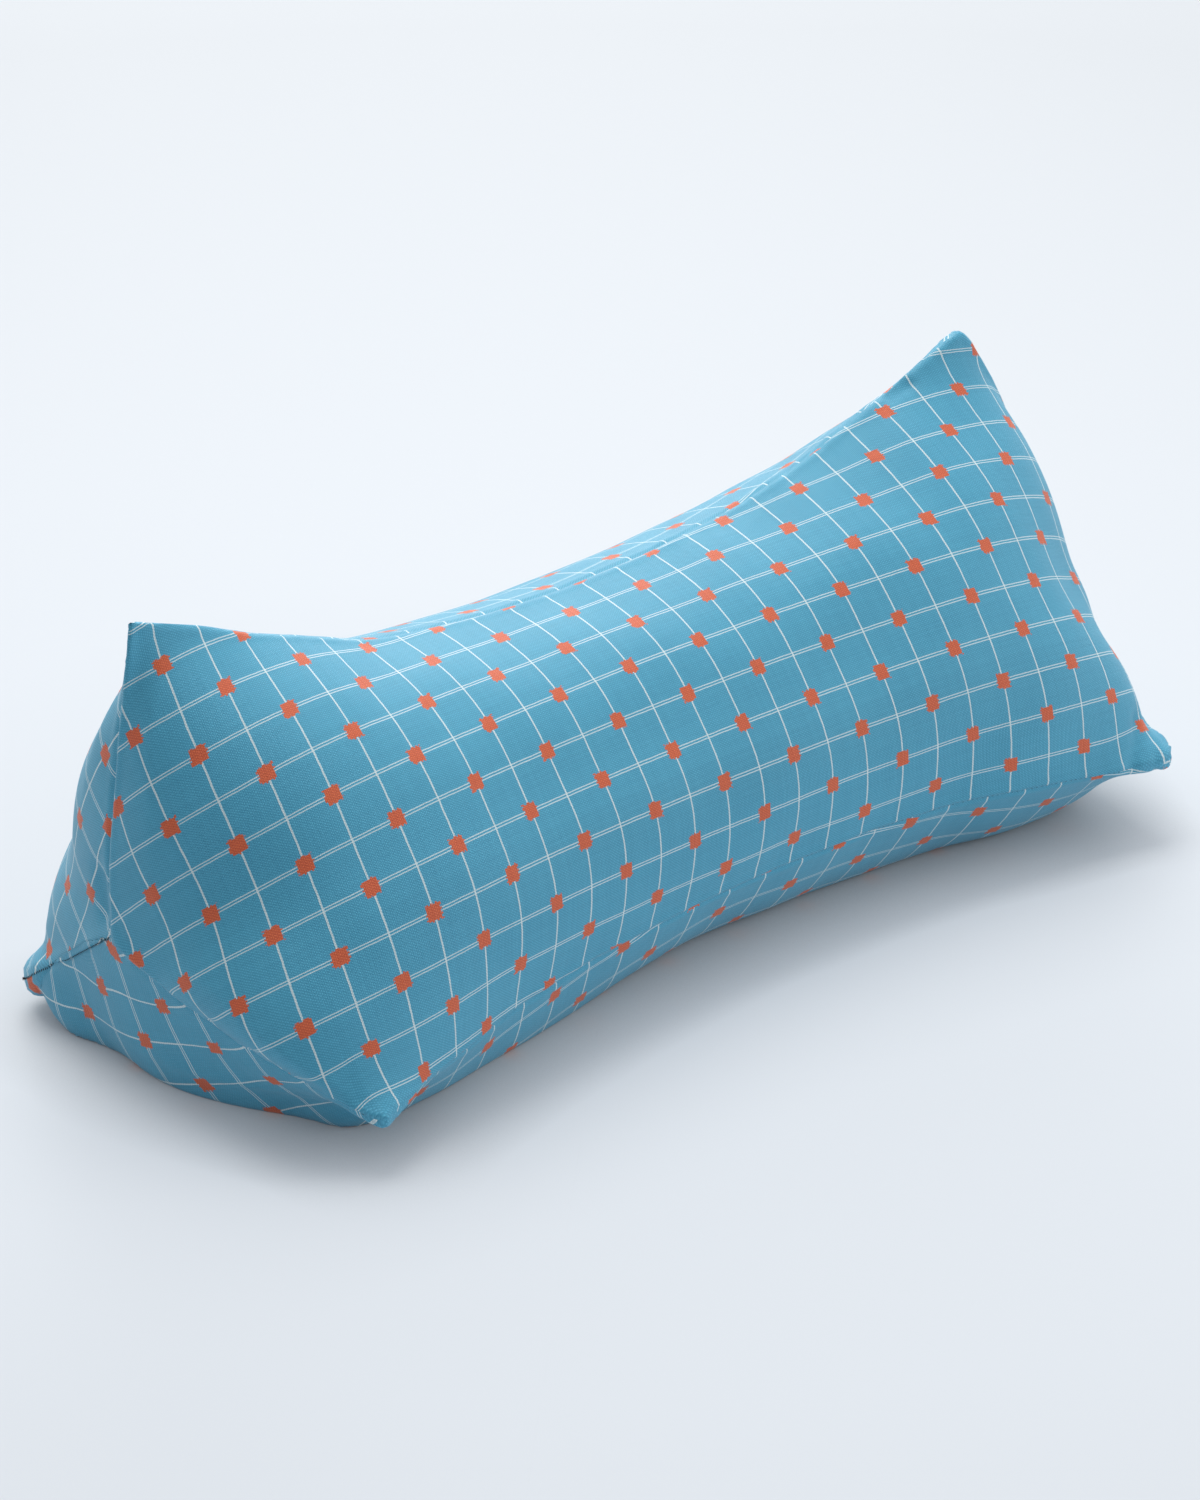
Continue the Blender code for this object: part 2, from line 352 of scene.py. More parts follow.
@dataclass
class ClothLay:
    """Lays a panel out flat by its own lengths, so its weave is not stretched.

    A coarse net of the panel's surface is flattened as rigidly as possible, and the places in
    between are read off it smoothly. Flat places are complex numbers, x + iy in mm. Each of sides
    names the two ends of a triangle's side, and the corner across from it.
    """

    form: PillowForm
    panel: Panel
    placement: CheckPlacement
    piece: FlatPiece = FlatPiece()
    steps_along: int = 48
    steps_across: int = 24
    rounds: int = 24
    sides: tuple[tuple[int, int, int], ...] = ((0, 1, 2), (1, 2, 0), (2, 0, 1))
    pull_range: Pair = (0.02, 20.0)
    table: Array = field(init=False)

    def __post_init__(self) -> None:
        """Flatten the net once."""
        rows = np.linspace(0, 1, self.steps_along + 1)
        cols = np.linspace(0, 1, self.steps_across + 1)
        along, across = (part.ravel() for part in np.meshgrid(rows, cols, indexing="ij"))
        surface = self.form.points(self.panel, along, across)
        flat = self.flatten(surface, self.piece.places(along, across))
        self.table = flat.reshape(self.steps_along + 1, self.steps_across + 1)

    def triangles(self) -> Array:
        """Both ways of cutting each cell of the net into triangles.

        Returns:
            A row of three points for each triangle.
        """
        index = np.arange((self.steps_along + 1) * (self.steps_across + 1))
        index = index.reshape(self.steps_along + 1, self.steps_across + 1)
        a, b = index[:-1, :-1].ravel(), index[1:, :-1].ravel()
        c, d = index[1:, 1:].ravel(), index[:-1, 1:].ravel()
        return np.concatenate(
            [np.stack(t, 1) for t in ((a, b, c), (a, c, d), (a, b, d), (b, c, d))])

    @staticmethod
    def corners(surface: Array, tris: Array) -> Array:
        """Each triangle's own shape, laid flat.

        Args:
            surface: points of the net on the pillow, in mm.
            tris: the three points of each triangle.

        Returns:
            A row for each of its three corners, the first one at the origin.
        """
        first, second = (surface[tris[:, k]] - surface[tris[:, 0]] for k in (1, 2))
        length = np.maximum(np.linalg.norm(first, axis=1), TINY)
        lean = (first * second).sum(1) / length
        rise = np.sqrt(np.maximum((second ** 2).sum(1) - lean ** 2, TINY))
        return np.stack([0 * length, length, lean + 1j * rise])

    def flatten(self, surface: Array, flat: Array) -> Array:
        """Flatten the net so that each small triangle keeps its shape as well as it can.

        Args:
            surface: points of the net on the pillow, in mm.
            flat: first guess of the flat places.

        Returns:
            The flat places that strain the cloth least.
        """
        tris = self.triangles()
        corner = self.corners(surface, tris)
        count = len(surface)
        stiff = np.zeros((count, count))
        edges = []
        for i, j, k in self.sides:
            angle = (corner[i] - corner[k]).conj() * (corner[j] - corner[k])
            pull = np.clip(angle.real / np.maximum(np.abs(angle.imag), EDGE), *self.pull_range)
            a, b = tris[:, i], tris[:, j]
            edges.append((a, b, pull, corner[i] - corner[j]))
            for row, column, signed in ((a, a, pull), (b, b, pull), (a, b, -pull), (b, a, -pull)):
                np.add.at(stiff, (row, column), signed)
        held = count // 2
        stiff[held, held] += 1.0
        loosen = np.linalg.inv(stiff)
        anchor = flat[held]
        for _ in range(self.rounds):
            turn = sum(pull * (flat[a] - flat[b]) * own.conj() for a, b, pull, own in edges)
            turn = turn / np.maximum(np.abs(turn), TINY)
            goal = np.zeros(count, complex)
            for a, b, pull, own in edges:
                wish = pull * turn * own
                np.add.at(goal, a, wish)
                np.add.at(goal, b, -wish)
            goal[held] += anchor
            flat = loosen @ goal
        return flat

    def read(self, along: Array, across: Array) -> Array:
        """Cloth coordinates at places of the panel.

        Args:
            along: places from 0, left, to 1, right.
            across: places from 0, low seam, to 1, high seam.

        Returns:
            One row (u, v) in repeats for each place.
        """
        out = np.zeros(len(along), complex)
        rows, cols = self.steps_along, self.steps_across
        i, j = np.clip(along * rows, 0, rows), np.clip(across * cols, 0, cols)
        i0 = np.minimum(i.astype(int), rows - 1)
        j0 = np.minimum(j.astype(int), cols - 1)
        wi, wj = self.spread(i - i0), self.spread(j - j0)
        padded = self.padded_table()
        for a in range(4):
            for b in range(4):
                out += wi[a] * wj[b] * padded[i0 + a, j0 + b]
        return self.placement.cloth(out)

    def padded_table(self) -> Array:
        """The net with one more row all round, carried on straight."""
        t = self.table
        t = np.concatenate([2 * t[:1] - t[1:2], t, 2 * t[-1:] - t[-2:-1]], 0)
        return np.concatenate([2 * t[:, :1] - t[:, 1:2], t, 2 * t[:, -1:] - t[:, -2:-1]], 1)

    @staticmethod
    def spread(t: Array) -> list[Array]:
        """Weights of four neighbours for a smooth curve through a net's points."""
        return [
            -0.5 * t + t ** 2 - 0.5 * t ** 3,
            1 - 2.5 * t ** 2 + 1.5 * t ** 3,
            0.5 * t + 2 * t ** 2 - 1.5 * t ** 3,
            -0.5 * t ** 2 + 0.5 * t ** 3,
        ]


@dataclass(frozen=True)
class Signal:
    """A shader socket that can be reckoned with like a number."""

    recipe: "Recipe"
    socket: bpy.types.NodeSocket

    def math(self, operation: str, *others: "Signal | float") -> "Signal":
        """A Math node fed with this signal and others.

        Args:
            operation: Blender's name of the operation.
            others: further inputs, signals or numbers.

        Returns:
            The node's result.
        """
        return self.recipe.add(
            "Math", dict(enumerate((self, *others))), "Value", operation=operation)

    def __add__(self, other: "Signal | float") -> "Signal":
        """Sum."""
        return self.math("ADD", other)

    def __sub__(self, other: "Signal | float") -> "Signal":
        """Difference."""
        return self.math("SUBTRACT", other)

    def __mul__(self, other: "Signal | float") -> "Signal":
        """Product."""
        return self.math("MULTIPLY", other)

    def within(self, half: float, soft: float) -> "Signal":
        """1 where the size of this signal is under half, with an edge soft wide."""
        span = {"From Min": half + soft / 2, "From Max": half - soft / 2}
        return self.recipe.add("MapRange", {**span, "Value": self.math("ABSOLUTE")}, "Result",
                               interpolation_type="SMOOTHSTEP")

    def hump(self) -> "Signal":
        """0 at each whole number of this signal, and a smooth rise to 1 in between."""
        return (self.math("FRACT") * pi).math("SINE")


class Recipe:
    """A node material in the making.

    The Mix node names its sockets alike for numbers and colours, so the colours go by number.
    """

    MIX_COLOURS = (6, 7)
    MIXED_COLOUR = 2

    def __init__(self, name: str) -> None:
        """Start the material with its one shader."""
        self.material = bpy.data.materials.new(name)
        self.material.use_nodes = True
        self.tree = self.material.node_tree

    def feed(self, node: bpy.types.Node, inputs: dict) -> None:
        """Fill inputs of a node: a signal is joined, a number, vector or colour is set.

        Args:
            node: the node.
            inputs: what goes into it, by the input's name or number.
        """
        for name, value in inputs.items():
            into = node.inputs[name]
            if isinstance(value, Signal):
                self.tree.links.new(value.socket, into)
            else:
                into.default_value = (*value, 1.0) if into.type == "RGBA" else value

    def add(self, kind: str, inputs: dict, output: "str | int", **settings: object) -> Signal:
        """Add a node.

        Args:
            kind: Blender's name of the node, without ShaderNode.
            inputs: what goes into it, by the input's name or number.
            output: the name or number of the output to go on with.
            settings: the node's own settings.

        Returns:
            That output.
        """
        node = self.tree.nodes.new("ShaderNode" + kind)
        for name, value in settings.items():
            setattr(node, name, value)
        self.feed(node, inputs)
        return Signal(self, node.outputs[output])

    def mix(self, amount: Signal, first: "Signal | Triple", second: "Signal | Triple") -> Signal:
        """A colour between two others, the first where amount is 0 and the second where 1."""
        inputs = {"Factor": amount, **dict(zip(self.MIX_COLOURS, (first, second)))}
        return self.add("Mix", inputs, self.MIXED_COLOUR, data_type="RGBA", clamp_factor=True)

    def bump(self, height: Signal, strength: float, depth_mm: float) -> Signal:
        """The surface's direction once a relief is pressed into it."""
        inputs = {"Strength": strength, "Distance": depth_mm * MM, "Height": height}
        return self.add("Bump", inputs, "Normal")

    def finish(self, inputs: dict) -> bpy.types.Material:
        """Fill the shader's inputs and hand over the material."""
        self.feed(self.tree.nodes["Principled BSDF"], inputs)
        return self.material


@dataclass(frozen=True)
class Grain:
    """A noise that follows the cloth: how tight it is along, across and up, scale and detail."""

    tight: Triple
    scale: float
    detail: float

    def signal(self, recipe: Recipe, cloth: Signal) -> Signal:
        """The noise, about -0.5 to 0.5.

        Args:
            recipe: the material.
            cloth: the cloth's coordinates.

        Returns:
            The noise at each place of the cloth.
        """
        place = recipe.add("Mapping", {"Scale": self.tight, "Vector": cloth}, "Vector")
        inputs = {"Scale": self.scale, "Detail": self.detail, "Vector": place}
        return recipe.add("TexNoise", inputs, "Fac") - 0.5


@dataclass(frozen=True)
class CheckCotton:
    """Woven cotton with a white windowpane check and orange squares on every other crossing.

    Sizes are in repeats. The _by values are how far a noise carries the pattern along and
    across, the _light values how much something lightens the thread, and the _high ones how far
    it stands out. The _under values tell how much of a white line shows where its thread dips.
    """

    name: str = "blue_check_cotton"
    warp_blue: Triple = (0.036, 0.268, 0.425)
    weft_blue: Triple = (0.086, 0.425, 0.610)
    line_white: Triple = (0.86, 0.92, 0.89)
    square_orange: Triple = (0.74, 0.150, 0.050)
    orange_dark: Triple = (0.54, 0.080, 0.028)
    wefts_per_repeat: float = 26.0
    warps_per_repeat: float = 32.0
    square_half: float = 0.170
    square_soft: float = 0.004
    ragged: float = 0.015
    line_half: float = 0.018
    line_soft: float = 0.010
    line_under: float = 0.7
    pair_gap: float = 0.030
    pair_half: float = 0.011
    pair_soft: float = 0.008
    pair_under: float = 0.65
    body_under: float = 0.65
    sway: Grain = Grain((2.2, 2.2, 1.0), 2.0, 2.0)
    fine: Grain = Grain((9.0, 9.0, 1.0), 2.0, 3.0)
    tone: Grain = Grain((0.35, 0.5, 1.0), 1.0, 2.0)
    slub: Grain = Grain((1.3, 30.0, 1.0), 1.0, 2.0)
    sway_by: Pair = (0.020, 0.016)
    fine_by: Pair = (0.012, -0.010)
    base_light: float = 0.25
    over_light: float = 0.40
    body_light: float = 0.4
    body_middle: float = 0.4
    tone_light: float = 0.35
    twill_light: float = 0.28
    thread_light: float = 0.14
    slub_light: float = 0.4
    white_high: float = 0.5
    square_high: float = 0.35
    slub_high: float = 0.6
    bump: float = 0.55
    bump_mm: float = 0.16
    roughness: float = 0.58
    shine: float = 0.5
    sheen: float = 0.18
    sheen_roughness: float = 0.45

    def material(self) -> bpy.types.Material:
        """Build the cloth's node material.

        Returns:
            The material.
        """
        recipe = Recipe(self.name)
        cloth = recipe.add("UVMap", {}, "UV", uv_map="cloth")
        u, v = (recipe.add("SeparateXYZ", {"Vector": cloth}, axis) for axis in ("X", "Y"))
        sway, fine, tone, slub = (
            grain.signal(recipe, cloth) for grain in (self.sway, self.fine, self.tone, self.slub))
        u = u + sway * self.sway_by[0] + fine * self.fine_by[0]
        v = v + sway * self.sway_by[1] + fine * self.fine_by[1]
        weft, warp = u * self.wefts_per_repeat, v * self.warps_per_repeat
        weft_row, warp_row = weft.math("FLOOR"), warp.math("FLOOR")
        weft_tone, warp_tone = self.thread_tone(weft_row), self.thread_tone(warp_row)
        over = self.odd(weft_row + warp_row)
        body = weft.hump() * warp.hump()
        near_u, near_v = u.math("ROUND"), v.math("ROUND")
        even = self.odd(near_u + near_v) * -1.0 + 1.0
        at_weft = (weft_row + 0.5) * (1.0 / self.wefts_per_repeat)
        at_warp = (warp_row + 0.5) * (1.0 / self.warps_per_repeat)
        from_u = at_weft - near_u + warp_tone * self.ragged
        from_v = at_warp - near_v + weft_tone * self.ragged
        square = from_u.within(self.square_half, self.square_soft)
        square = square * from_v.within(self.square_half, self.square_soft) * even
        single = (u - near_u).within(self.line_half, self.line_soft)
        single = single * (over * (1 - self.line_under) + self.line_under)
        pair = (v - near_v).math("ABSOLUTE") - self.pair_gap
        pair = pair.within(self.pair_half, self.pair_soft) * (over * (self.pair_under - 1) + 1.0)
        white = single.math("MAXIMUM", pair)
        twill = ((weft + warp) * pi).math("SINE")
        light = over * self.over_light + (body - self.body_middle) * self.body_light
        light = light + tone * self.tone_light + twill * self.twill_light
        light = light + weft_tone * self.thread_light + warp_tone * self.thread_light
        light = light + slub * self.slub_light + self.base_light
        faded = (body * (1 - self.body_under) + self.body_under) * white
        colour = recipe.mix(light, self.warp_blue, self.weft_blue)
        colour = recipe.mix(faded, colour, self.line_white)
        orange = recipe.mix(light, self.orange_dark, self.square_orange)
        height = body + white * self.white_high + square * self.square_high
        material = recipe.finish({
            "Base Color": recipe.mix(square, colour, orange),
            "Normal": recipe.bump(height + slub * self.slub_high, self.bump, self.bump_mm),
            "Roughness": self.roughness,
            "Sheen Weight": self.sheen,
            "Sheen Roughness": self.sheen_roughness,
            "Specular IOR Level": self.shine,
        })
        material.diffuse_color = (*self.weft_blue, 1.0)
        return material

    @staticmethod
    def odd(count: Signal) -> Signal:
        """1 where a whole number is odd and 0 where it is even."""
        return (count * 0.5).math("FRACT") * 2.0

    @staticmethod
    def thread_tone(row: Signal) -> Signal:
        """A tone of its own, -0.5 to 0.5, for each thread."""
        tone = row.recipe.add("TexWhiteNoise", {"W": row}, "Value", noise_dimensions="1D")
        return tone - 0.5


@dataclass(frozen=True)
class SewingThread:
    """Twisted sewing thread."""

    name: str
    colour: Triple
    shade: Triple
    roughness: float = 0.7
    twist_per_metre: float = 1400.0
    distortion: float = 1.5
    bump: float = 0.4
    bump_mm: float = 0.06

    def material(self) -> bpy.types.Material:
        """Build the thread's node material.

        Returns:
            The material.
        """
        recipe = Recipe(self.name)
        inputs = {"Scale": self.twist_per_metre, "Distortion": self.distortion,
                  "Vector": recipe.add("TexCoord", {}, "Object")}
        twist = recipe.add("TexWave", inputs, "Fac", bands_direction="DIAGONAL")
        material = recipe.finish({
            "Base Color": recipe.mix(twist, self.shade, self.colour),
            "Normal": recipe.bump(twist, self.bump, self.bump_mm),
            "Roughness": self.roughness,
        })
        material.diffuse_color = (*self.colour, 1.0)
        return material


def put(name: str, data: bpy.types.ID) -> bpy.types.Object:
    """Make an object and put it in the scene."""
    thing = bpy.data.objects.new(name, data)
    bpy.context.scene.collection.objects.link(thing)
    return thing


def put_mesh(name: str, bm: bmesh.types.BMesh, material: bpy.types.Material) -> bpy.types.Object:
    """Turn a finished mesh into an object of the scene.

    Args:
        name: the object's name.
        bm: its mesh, which is freed.
        material: what it is made of.

    Returns:
        The object.
    """
    mesh = bpy.data.meshes.new(name)
    bm.to_mesh(mesh)
    bm.free()
    mesh.materials.append(material)
    return put(name, mesh)


@dataclass(frozen=True)
class SeamPoint:
    """A place on a finished seam: where it is, which way is out and which way the seam runs."""

    place: Vector
    out: Vector
    run: Vector

    def towards(self, other: "SeamPoint", part: float) -> "SeamPoint":
        """The point that is a part of the way to another."""
        return SeamPoint(self.place.lerp(other.place, part),
                         self.out.lerp(other.out, part).normalized(),
                         self.run.lerp(other.run, part).normalized())


@dataclass(frozen=True)
class SeamShape:
    """How the cloth lies beside one kind of seam, in mm.

    The seam sinks into a groove with a roll beside it, and puckers along its length. lip is how
    far the front panel's turned edge stands up. Ripples that are fine times tighter and fine_share
    as strong go with the pucker.
    """

    groove: float
    groove_width: float
    roll: float
    roll_at: float
    pucker: float
    pucker_reach: float
    pucker_length: float
    lip: float = 0.0
    lip_width: float = 1.4
    lip_at: float = 1.0
    roll_width: float = 1.6
    pucker_start: float = 0.8
    pucker_from: Triple = (3.1, 7.7, 1.3)
    fine: float = 2.3
    fine_share: float = 0.5

    def relief(self, near: Vector, gap: float, panel: int) -> float:
        """How far the cloth stands out beside the seam.

        Args:
            near: the nearest point of the seam, in metres.
            gap: distance from it in mm.
            panel: the number of the panel.

        Returns:
            The move along the normal, in mm.
        """
        lip = self.lip if panel == Panel.FRONT.value else 0.0
        sunk = -self.groove * np.exp(-(gap / self.groove_width) ** 2)
        roll = self.roll * np.exp(-((gap - self.roll_at) / self.roll_width) ** 2)
        edge = lip * np.exp(-((gap - self.lip_at) / self.lip_width) ** 2)
        tight = PER_METRE / self.pucker_length
        ripple = noise.noise(near * tight + Vector(self.pucker_from))
        ripple += self.fine_share * noise.noise(near * (self.fine * tight))
        pucker = self.pucker * ripple * np.exp(-gap / self.pucker_reach)
        return float(sunk + roll + edge + pucker * min(gap / self.pucker_start, 1.0))


@dataclass(frozen=True)
class Hollow:
    """A soft crease in a panel, from one place (along, across) to another; sizes in mm.

    A depth under zero makes a swelling.
    """

    panel: Panel
    start: Pair
    finish: Pair
    depth: float
    width: float
    steps: int = 9

    def line(self, form: PillowForm) -> list[Vector]:
        """Points down the middle of the crease, in metres."""
        along, across = np.linspace(self.start, self.finish, self.steps).T
        return [Vector(point) * MM for point in form.points(self.panel, along, across)]


@dataclass
class CushionCover:
    """The sewn and filled cover: three panels welded at their seams; sizes in mm.

    A tip is rounded up to tip_reach away, and tip_spread times its radius more. One with a radius
    over sharp_tip is smoothed too. Seams keep tip_relief of their shape at a tip and gain the
    rest at relief_rise. Nothing is shaped at the floor, and all of it from clear_height up.
    """

    form: PillowForm = PillowForm()
    finish: CheckCotton = CheckCotton()
    steps_along: int = 200
    steps_across: int = 92
    end_crowding: float = 0.55
    seam_crowding: float = 0.62
    weld: float = 0.02
    tip_reach: float = 22.0
    tip_spread: float = 2.0
    tip_rounds: int = 3
    tip_fill: float = 0.8
    tip_relief: float = 0.4
    relief_rise: float = 2.0
    sharp_tip: float = 2.0
    least_angle: float = 0.2
    clear_height: float = 3.0
    rest_lift: float = 0.05
    unevenness: float = 0.70
    lump_length: float = 30.0
    placements: dict[Panel, CheckPlacement] = field(default_factory=lambda: {
        Panel.FRONT: CheckPlacement(12.42, 6.605, -0.008, sag=0.70, slack=0.41, spread=0.31),
        Panel.BACK: CheckPlacement(13.845, 6.778, -0.005, sag=0.75),
        Panel.BASE: CheckPlacement(11.883, 6.527, -0.027, sag=-0.49),
    })
    seam_shapes: dict[Seam, SeamShape] = field(default_factory=lambda: {
        Seam.TOP: SeamShape(0.55, 0.9, 0.30, 2.4, 0.32, 6.0, 9.0),
        Seam.FRONT: SeamShape(0.55, 0.8, 0.20, 2.4, 0.32, 6.0, 8.0, lip=0.25),
        Seam.BACK: SeamShape(0.60, 0.9, 0.30, 2.4, 0.36, 6.0, 9.0),
        Seam.UPRIGHT_ARM: SeamShape(0.45, 0.6, 0.25, 2.4, 0.28, 6.0, 10.0, lip=0.5),
        Seam.FRONT_ARM: SeamShape(0.50, 0.8, 0.25, 2.6, 0.70, 8.0, 9.0, lip=1.1),
        Seam.BACK_ARM: SeamShape(0.40, 0.9, 0.25, 2.6, 0.40, 6.0, 8.0),
    })
    hollows: tuple[Hollow, ...] = (
        Hollow(Panel.BACK, (0.010, 0.53), (0.013, 0.58), 2.4, 4.5),
        Hollow(Panel.FRONT, (0.936, 0.12), (0.950, 0.01), 1.6, 3.0),
        Hollow(Panel.FRONT, (0.870, 0.992), (0.895, 0.985), 1.2, 2.5),
        Hollow(Panel.FRONT, (0.922, 0.36), (0.99, 0.12), 3.7, 11.0),
        Hollow(Panel.FRONT, (0.895, 0.48), (0.895, 0.49), -1.6, 10.0),
        Hollow(Panel.BASE, (0.10, 0.16), (0.14, 0.19), -4.5, 12.0),
        Hollow(Panel.BASE, (0.025, 0.89), (0.06, 0.81), -2.7, 12.0),
    )
    seams: dict[tuple[Seam, int], list[SeamPoint]] = field(default_factory=dict)
    tags: dict[str, bmesh.types.BMLayerItem] = field(init=False)
    bm: bmesh.types.BMesh = field(init=False)

    def build(self) -> bpy.types.Object:
        """Make the cover's mesh, sink its seams and dress it.

        Returns:
            The cover's object.
        """
        self.bm = bm = bmesh.new()
        self.tags = {
            "panel": bm.verts.layers.int.new("panel"),
            "along": bm.verts.layers.float.new("along"),
            "across": bm.verts.layers.float.new("across"),
        }
        cloth = bm.loops.layers.uv.new("cloth")
        for panel in Panel:
            self.add_panel(panel, cloth)
        edge_verts = [vert for vert in bm.verts if vert.is_boundary]
        bmesh.ops.remove_doubles(bm, verts=edge_verts, dist=self.weld * MM)
        bmesh.ops.recalc_face_normals(bm, faces=bm.faces)
        if bm.calc_volume(signed=True) < 0:
            bmesh.ops.reverse_faces(bm, faces=bm.faces)
        self.round_tips()
        self.press_hollows()
        self.shape_seams()
        self.note_seams()
        for face in bm.faces:
            face.smooth = True
        cover = put_mesh("cushion_cover", bm, self.finish.material())
        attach(cover, "root")
        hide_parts("cushion")
        return cover

    @staticmethod
    def crowded(value: Array, amount: float) -> Array:
        """Spread of grid lines over 0 to 1, closer together near both ends."""
        eased = value * value * (3 - 2 * value)
        return np.clip(value + (eased - value) * amount, 0.0, 1.0)

    def add_panel(self, panel: Panel, cloth: bmesh.types.BMLayerItem) -> None:
        """Add one panel as a grid that is bent into place and carries its cloth coordinates.

        Args:
            panel: which panel.
            cloth: the layer for the cloth coordinates.
        """
        verts = bmesh.ops.create_grid(self.bm, x_segments=self.steps_along,
                                      y_segments=self.steps_across, size=0.5)["verts"]
        flat = np.array([vert.co[:2] for vert in verts]) + 0.5
        along = self.crowded(flat[:, 0], self.end_crowding)
        across = self.crowded(flat[:, 1], self.seam_crowding)
        points = self.form.points(panel, along, across) * MM
        lay = ClothLay(self.form, panel, self.placements[panel])
        coordinates = lay.read(along, across)
        for k, vert in enumerate(verts):
            vert.co = points[k]
            vert[self.tags["panel"]] = panel.value
            vert[self.tags["along"]] = along[k]
            vert[self.tags["across"]] = across[k]
            for loop in vert.link_loops:
                loop[cloth].uv = coordinates[k]

    def seam_of(self, vert: bmesh.types.BMVert) -> "tuple[Seam, int] | None":
        """The seam a welded vertex lies on, and which end for an arm (0 left, 1 right).

        Args:
            vert: a vertex of the cover.

        Returns:
            The seam and end, or None away from every seam.
        """
        panel = Panel(vert[self.tags["panel"]])
        along, across = vert[self.tags["along"]], vert[self.tags["across"]]
        cut = self.form.cut(panel)
        if across < EDGE:
            return cut.low, 0
        if across > 1 - EDGE:
            return cut.high, 0
        if EDGE < along < 1 - EDGE:
            return None
        on_high = across > 0.5 or (across == 0.5 and panel is Panel.BASE)
        return ARMS[cut.high if on_high else cut.low], 0 if along < 0.5 else 1

    def tips(self) -> list[tuple[Vector, float]]:
        """The six corner tips in metres, each with the radius it is rounded to."""
        return [(Vector(end.point(name) + self.form.slide) * MM, plump * MM)
                for end in (self.form.left, self.form.right)
                for name, plump in zip(("top", "front", "back"), end.plump)]

    def on_seam(self, vert: bmesh.types.BMVert, arm: bool) -> bool:
        """Whether a vertex lies on an arm, or on a long seam."""
        found = self.seam_of(vert)
        return bool(found) and (found[0] in ARMS) != arm

    def tip_axes(self, tip: Vector,
                 near: list[bmesh.types.BMVert]) -> tuple[Vector, Vector, float]:
        """How a tip lies.

        Args:
            tip: its place.
            near: the vertices round it.

        Returns:
            The way inwards, the way across its two sheets, and half the angle between its seams.
        """
        first, second = (
            sum((vert.co - tip for vert in near if self.on_seam(vert, arm)), Vector()).normalized()
            for arm in (True, False))
        half = max(first.angle(second) / 2, self.least_angle)
        return (first + second).normalized(), first.cross(second).normalized(), half

    @staticmethod
    def nose(deep: float, wide: float, plump: float, half: float, fade: float) -> Pair:
        """How a place near a tip moves when the tip is rounded, in metres.

        Args:
            deep: how far in from the tip it is.
            wide: how far beside the tip's middle line it is.
            plump: the radius the tip is rounded to.
            half: half the angle between the tip's seams.
            fade: how much of the rounding it gets.

        Returns:
            Its move sideways, and the height of the dome over it.
        """
        blunt = plump * (1 - sin(half))
        own = max(deep * tan(half), EDGE)
        goal = own + blunt / cos(half) * fade
        if deep < blunt:
            goal = (deep * (2 * plump - deep)) ** 0.5
        part = min(max(wide / own, -1.0), 1.0)
        if deep < plump:
            room = plump - ((plump - deep) ** 2 + (part * goal) ** 2) ** 0.5
        else:
            room = (goal - abs(part * goal)) * cos(half)
        room = min(max(room, 0.0), plump)
        return part * (goal - own), (room * (2 * plump - room)) ** 0.5

    def round_tips(self) -> None:
        """Swell each pointed tip to a soft round nose, as the fill does."""
        self.bm.normal_update()
        for tip, plump in self.tips():
            reach = self.tip_reach * MM + self.tip_spread * plump
            near = [vert for vert in self.bm.verts if (vert.co - tip).length < reach]
            inward, across, half = self.tip_axes(tip, near)
            side = across.cross(inward)
            facing = {panel.value: 0.0 for panel in Panel}
            for vert in near:
                facing[vert[self.tags["panel"]]] += vert.normal.dot(across)
            for vert in near:
                ray = vert.co - tip
                fade = 1 - ray.length / reach
                fade = fade * fade * (3 - 2 * fade)
                deep = max(ray.dot(inward), 0.0)
                shift, dome = self.nose(deep, ray.dot(side), plump, half, fade)
                sign = 1 if facing[vert[self.tags["panel"]]] > 0 else -1
                vert.co += side * shift
                vert.co += across * (sign * dome * fade * self.tip_fill)
            for _ in range(self.tip_rounds if plump > self.sharp_tip * MM else 0):
                bmesh.ops.smooth_vert(self.bm, verts=near, factor=0.5, use_axis_x=True,
                                      use_axis_y=True, use_axis_z=True)

    def press_hollows(self) -> None:
        """Press the soft creases into their panels."""
        self.bm.normal_update()
        for hollow in self.hollows:
            line = hollow.line(self.form)
            for vert in self.bm.verts:
                gap = min((vert.co - place).length for place in line) / MM
                if gap < 3 * hollow.width:
                    sunk = hollow.depth * np.exp(-(gap / hollow.width) ** 2)
                    vert.co -= vert.normal * float(sunk * MM)

